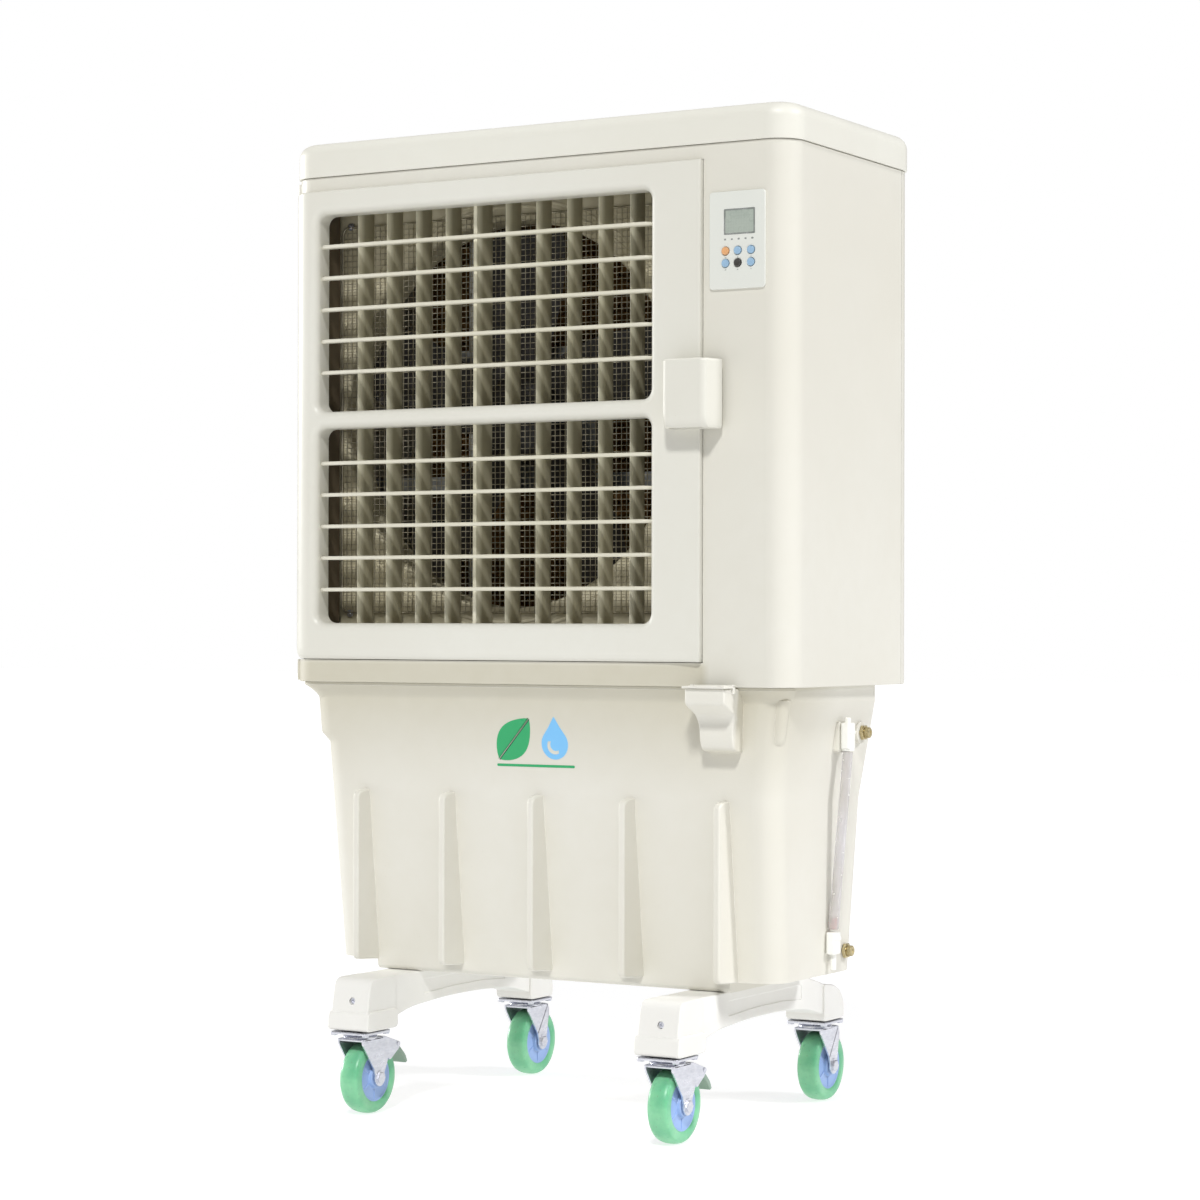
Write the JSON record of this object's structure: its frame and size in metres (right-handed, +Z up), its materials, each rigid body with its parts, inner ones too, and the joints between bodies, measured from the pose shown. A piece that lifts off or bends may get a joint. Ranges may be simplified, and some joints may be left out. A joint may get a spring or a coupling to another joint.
{
  "type": "evaporative cooler",
  "caption": "Portable evaporative air cooler: louvred fan housing with a hinged front door over a ribbed water tank, on swivel casters.",
  "frame": {"origin": "on the floor under the middle of the machine's box", "axes": "+Z up, -Y out of the air outlet (front), +X towards the control column"},
  "size_m": [0.802, 0.532, 1.36],
  "materials": {
    "housing_ivory": "satin moulded, faint orange peel",
    "door_ivory": "satin moulded",
    "tank_ivory": "rotomoulded, soft satin",
    "vane_ivory": "satin moulded",
    "inner_plate": "matt moulded, in shade",
    "guard_wire": "coated wire",
    "dark_plastic": "matt glass-filled",
    "motor_paint": "semi-matt paint",
    "bracket_steel": "zinc plated",
    "pad_cellulose": "corrugated cellulose",
    "panel_label": "printed film",
    "button_orange": "satin",
    "button_blue": "satin",
    "button_black": "satin",
    "beam_white": "satin moulded",
    "caster_tyre": "smooth polyurethane, semi-gloss",
    "zinc_steel": "bright zinc plate",
    "pedal_plastic": "satin",
    "gauge_clear": "clear acrylic",
    "white_plastic": "gloss",
    "float_red": "gloss",
    "plug_brass": "dull brass"
  },
  "bodies": {
    "root": {"tank": "tank_ivory", "cabinet": "housing_ivory", "top_cover": "housing_ivory", "fan_plate": "inner_plate", "fan_guard": "guard_wire", "fan_motor": "motor_paint", "motor_bracket": "bracket_steel", "cooling_pad": "pad_cellulose", "rear_frame": "housing_ivory", "control_panel": "panel_label", "beam_left": "beam_white", "beam_right": "beam_white", "gauge_tube": "gauge_clear", "gauge_top_fitting": "white_plastic", "gauge_bottom_fitting": "white_plastic", "water_pump": "dark_plastic", "water_pipe": "white_plastic", "hinge_rod": "bracket_steel", "overflow_plug": "plug_brass"},
    "fan_impeller": {"fan_impeller": "dark_plastic"},
    "front_door": {"front_door": "door_ivory"},
    "door_latch": {"door_latch": "door_ivory"},
    "h_vane_lower_1": {"h_vane_lower_1": "vane_ivory"},
    "h_vane_lower_2": {"h_vane_lower_2": "vane_ivory"},
    "h_vane_lower_3": {"h_vane_lower_3": "vane_ivory"},
    "h_vane_lower_4": {"h_vane_lower_4": "vane_ivory"},
    "h_vane_lower_5": {"h_vane_lower_5": "vane_ivory"},
    "h_vane_upper_1": {"h_vane_upper_1": "vane_ivory"},
    "h_vane_upper_2": {"h_vane_upper_2": "vane_ivory"},
    "h_vane_upper_3": {"h_vane_upper_3": "vane_ivory"},
    "h_vane_upper_4": {"h_vane_upper_4": "vane_ivory"},
    "h_vane_upper_5": {"h_vane_upper_5": "vane_ivory"},
    "v_vane_1": {"v_vane_1": "vane_ivory"},
    "v_vane_2": {"v_vane_2": "vane_ivory"},
    "v_vane_3": {"v_vane_3": "vane_ivory"},
    "v_vane_4": {"v_vane_4": "vane_ivory"},
    "v_vane_5": {"v_vane_5": "vane_ivory"},
    "v_vane_6": {"v_vane_6": "vane_ivory"},
    "v_vane_7": {"v_vane_7": "vane_ivory"},
    "v_vane_8": {"v_vane_8": "vane_ivory"},
    "v_vane_9": {"v_vane_9": "vane_ivory"},
    "caster_fork_front_left": {"caster_fork_front_left": "zinc_steel"},
    "caster_wheel_front_left": {"caster_wheel_front_left": "caster_tyre"},
    "caster_fork_rear_left": {"caster_fork_rear_left": "zinc_steel"},
    "caster_wheel_rear_left": {"caster_wheel_rear_left": "caster_tyre"},
    "brake_pedal_left": {"brake_pedal_left": "pedal_plastic"},
    "caster_fork_front_right": {"caster_fork_front_right": "zinc_steel"},
    "caster_wheel_front_right": {"caster_wheel_front_right": "caster_tyre"},
    "caster_fork_rear_right": {"caster_fork_rear_right": "zinc_steel"},
    "caster_wheel_rear_right": {"caster_wheel_rear_right": "caster_tyre"},
    "brake_pedal_right": {"brake_pedal_right": "pedal_plastic"},
    "button_1": {"button_1": "button_orange"},
    "button_2": {"button_2": "button_blue"},
    "button_3": {"button_3": "button_blue"},
    "button_4": {"button_4": "button_blue"},
    "button_5": {"button_5": "button_black"},
    "button_6": {"button_6": "button_blue"},
    "fill_lid": {"fill_lid": "tank_ivory"},
    "level_float": {"level_float": "float_red"},
    "drain_plug": {"drain_plug": "plug_brass"}
  },
  "joints": [
    {"name": "fan_spin", "type": "hinge", "parent": "root", "child": "fan_impeller", "pos_m": [-0.082, -0.075, 0.97], "axis": [0, -1, 0], "continuous": true},
    {"name": "door_hinge", "type": "hinge", "parent": "root", "child": "front_door", "pos_m": [-0.388, -0.166, 0.9585], "axis": [0, 0, -1], "range_deg": [0, 100]},
    {"name": "latch_hinge", "type": "hinge", "parent": "front_door", "child": "door_latch", "pos_m": [0.2334, -0.204, 0.9795], "axis": [0, 0, -1], "range_deg": [0, 40]},
    {"name": "h_vane_lower_1_tilt", "type": "hinge", "parent": "front_door", "child": "h_vane_lower_1", "pos_m": [-0.0775, -0.182, 0.726], "axis": [1, 0, 0], "range_deg": [-30, 30]},
    {"name": "h_vane_lower_2_tilt", "type": "hinge", "parent": "front_door", "child": "h_vane_lower_2", "pos_m": [-0.0775, -0.182, 0.7705], "axis": [1, 0, 0], "range_deg": [-30, 30]},
    {"name": "h_vane_lower_3_tilt", "type": "hinge", "parent": "front_door", "child": "h_vane_lower_3", "pos_m": [-0.0775, -0.182, 0.815], "axis": [1, 0, 0], "range_deg": [-30, 30]},
    {"name": "h_vane_lower_4_tilt", "type": "hinge", "parent": "front_door", "child": "h_vane_lower_4", "pos_m": [-0.0775, -0.182, 0.8595], "axis": [1, 0, 0], "range_deg": [-30, 30]},
    {"name": "h_vane_lower_5_tilt", "type": "hinge", "parent": "front_door", "child": "h_vane_lower_5", "pos_m": [-0.0775, -0.182, 0.904], "axis": [1, 0, 0], "range_deg": [-30, 30]},
    {"name": "h_vane_upper_1_tilt", "type": "hinge", "parent": "front_door", "child": "h_vane_upper_1", "pos_m": [-0.0775, -0.182, 1.032], "axis": [1, 0, 0], "range_deg": [-30, 30]},
    {"name": "h_vane_upper_2_tilt", "type": "hinge", "parent": "front_door", "child": "h_vane_upper_2", "pos_m": [-0.0775, -0.182, 1.0765], "axis": [1, 0, 0], "range_deg": [-30, 30]},
    {"name": "h_vane_upper_3_tilt", "type": "hinge", "parent": "front_door", "child": "h_vane_upper_3", "pos_m": [-0.0775, -0.182, 1.121], "axis": [1, 0, 0], "range_deg": [-30, 30]},
    {"name": "h_vane_upper_4_tilt", "type": "hinge", "parent": "front_door", "child": "h_vane_upper_4", "pos_m": [-0.0775, -0.182, 1.1655], "axis": [1, 0, 0], "range_deg": [-30, 30]},
    {"name": "h_vane_upper_5_tilt", "type": "hinge", "parent": "front_door", "child": "h_vane_upper_5", "pos_m": [-0.0775, -0.182, 1.21], "axis": [1, 0, 0], "range_deg": [-30, 30]},
    {"name": "v_vane_1_turn", "type": "hinge", "parent": "front_door", "child": "v_vane_1", "pos_m": [-0.29935, -0.144, 0.972], "axis": [0, 0, 1], "range_deg": [-35, 35]},
    {"name": "v_vane_2_turn", "type": "hinge", "parent": "front_door", "child": "v_vane_2", "pos_m": [-0.25005, -0.144, 0.972], "axis": [0, 0, 1], "range_deg": [-35, 35]},
    {"name": "v_vane_3_turn", "type": "hinge", "parent": "front_door", "child": "v_vane_3", "pos_m": [-0.20075, -0.144, 0.972], "axis": [0, 0, 1], "range_deg": [-35, 35]},
    {"name": "v_vane_4_turn", "type": "hinge", "parent": "front_door", "child": "v_vane_4", "pos_m": [-0.15145, -0.144, 0.972], "axis": [0, 0, 1], "range_deg": [-35, 35]},
    {"name": "v_vane_5_turn", "type": "hinge", "parent": "front_door", "child": "v_vane_5", "pos_m": [-0.05285, -0.144, 0.972], "axis": [0, 0, 1], "range_deg": [-35, 35]},
    {"name": "v_vane_6_turn", "type": "hinge", "parent": "front_door", "child": "v_vane_6", "pos_m": [-0.00355, -0.144, 0.972], "axis": [0, 0, 1], "range_deg": [-35, 35]},
    {"name": "v_vane_7_turn", "type": "hinge", "parent": "front_door", "child": "v_vane_7", "pos_m": [0.04575, -0.144, 0.972], "axis": [0, 0, 1], "range_deg": [-35, 35]},
    {"name": "v_vane_8_turn", "type": "hinge", "parent": "front_door", "child": "v_vane_8", "pos_m": [0.09505, -0.144, 0.972], "axis": [0, 0, 1], "range_deg": [-35, 35]},
    {"name": "v_vane_9_turn", "type": "hinge", "parent": "front_door", "child": "v_vane_9", "pos_m": [0.14435, -0.144, 0.972], "axis": [0, 0, 1], "range_deg": [-35, 35]},
    {"name": "swivel_front_left", "type": "hinge", "parent": "root", "child": "caster_fork_front_left", "pos_m": [-0.243, -0.234, 0.11], "axis": [0, 0, 1], "continuous": true},
    {"name": "roll_front_left", "type": "hinge", "parent": "caster_fork_front_left", "child": "caster_wheel_front_left", "pos_m": [-0.243, -0.216, 0.05], "axis": [1, 0, 0], "continuous": true},
    {"name": "swivel_rear_left", "type": "hinge", "parent": "root", "child": "caster_fork_rear_left", "pos_m": [-0.243, 0.198, 0.11], "axis": [0, 0, 1], "continuous": true},
    {"name": "roll_rear_left", "type": "hinge", "parent": "caster_fork_rear_left", "child": "caster_wheel_rear_left", "pos_m": [-0.243, 0.216, 0.05], "axis": [1, 0, 0], "continuous": true},
    {"name": "brake_left", "type": "hinge", "parent": "caster_fork_front_left", "child": "brake_pedal_left", "pos_m": [-0.243, -0.172, 0.092], "axis": [-1, 0, 0], "range_deg": [0, 14]},
    {"name": "swivel_front_right", "type": "hinge", "parent": "root", "child": "caster_fork_front_right", "pos_m": [0.243, -0.234, 0.11], "axis": [0, 0, 1], "continuous": true},
    {"name": "roll_front_right", "type": "hinge", "parent": "caster_fork_front_right", "child": "caster_wheel_front_right", "pos_m": [0.243, -0.216, 0.05], "axis": [1, 0, 0], "continuous": true},
    {"name": "swivel_rear_right", "type": "hinge", "parent": "root", "child": "caster_fork_rear_right", "pos_m": [0.243, 0.198, 0.11], "axis": [0, 0, 1], "continuous": true},
    {"name": "roll_rear_right", "type": "hinge", "parent": "caster_fork_rear_right", "child": "caster_wheel_rear_right", "pos_m": [0.243, 0.216, 0.05], "axis": [1, 0, 0], "continuous": true},
    {"name": "brake_right", "type": "hinge", "parent": "caster_fork_front_right", "child": "brake_pedal_right", "pos_m": [0.243, -0.172, 0.092], "axis": [-1, 0, 0], "range_deg": [0, 14]},
    {"name": "button_1_press", "type": "slide", "parent": "root", "child": "button_1", "axis": [0, 1, 0], "range_m": [0, 0.0012], "stiffness_N_per_m": 400},
    {"name": "button_2_press", "type": "slide", "parent": "root", "child": "button_2", "axis": [0, 1, 0], "range_m": [0, 0.0012], "stiffness_N_per_m": 400},
    {"name": "button_3_press", "type": "slide", "parent": "root", "child": "button_3", "axis": [0, 1, 0], "range_m": [0, 0.0012], "stiffness_N_per_m": 400},
    {"name": "button_4_press", "type": "slide", "parent": "root", "child": "button_4", "axis": [0, 1, 0], "range_m": [0, 0.0012], "stiffness_N_per_m": 400},
    {"name": "button_5_press", "type": "slide", "parent": "root", "child": "button_5", "axis": [0, 1, 0], "range_m": [0, 0.0012], "stiffness_N_per_m": 400},
    {"name": "button_6_press", "type": "slide", "parent": "root", "child": "button_6", "axis": [0, 1, 0], "range_m": [0, 0.0012], "stiffness_N_per_m": 400},
    {"name": "lid_hinge", "type": "hinge", "parent": "root", "child": "fill_lid", "pos_m": [0.2915, -0.203, 0.5972], "axis": [-1, 0, 0], "range_deg": [0, 85]},
    {"name": "float_rise", "type": "slide", "parent": "root", "child": "level_float", "axis": [0.0877, 0, 0.9961], "range_m": [0, 0.22]},
    {"name": "drain_pull", "type": "slide", "parent": "root", "child": "drain_plug", "axis": [1, 0, 0], "range_m": [0, 0.03]}
  ],
  "couplings": [
    {"joint": "h_vane_lower_2_tilt", "follows": "h_vane_lower_1_tilt", "ratio": 1},
    {"joint": "h_vane_lower_3_tilt", "follows": "h_vane_lower_1_tilt", "ratio": 1},
    {"joint": "h_vane_lower_4_tilt", "follows": "h_vane_lower_1_tilt", "ratio": 1},
    {"joint": "h_vane_lower_5_tilt", "follows": "h_vane_lower_1_tilt", "ratio": 1},
    {"joint": "h_vane_upper_2_tilt", "follows": "h_vane_upper_1_tilt", "ratio": 1},
    {"joint": "h_vane_upper_3_tilt", "follows": "h_vane_upper_1_tilt", "ratio": 1},
    {"joint": "h_vane_upper_4_tilt", "follows": "h_vane_upper_1_tilt", "ratio": 1},
    {"joint": "h_vane_upper_5_tilt", "follows": "h_vane_upper_1_tilt", "ratio": 1},
    {"joint": "v_vane_2_turn", "follows": "v_vane_1_turn", "ratio": 1},
    {"joint": "v_vane_3_turn", "follows": "v_vane_1_turn", "ratio": 1},
    {"joint": "v_vane_4_turn", "follows": "v_vane_1_turn", "ratio": 1},
    {"joint": "v_vane_5_turn", "follows": "v_vane_1_turn", "ratio": 1},
    {"joint": "v_vane_6_turn", "follows": "v_vane_1_turn", "ratio": 1},
    {"joint": "v_vane_7_turn", "follows": "v_vane_1_turn", "ratio": 1},
    {"joint": "v_vane_8_turn", "follows": "v_vane_1_turn", "ratio": 1},
    {"joint": "v_vane_9_turn", "follows": "v_vane_1_turn", "ratio": 1}
  ]
}
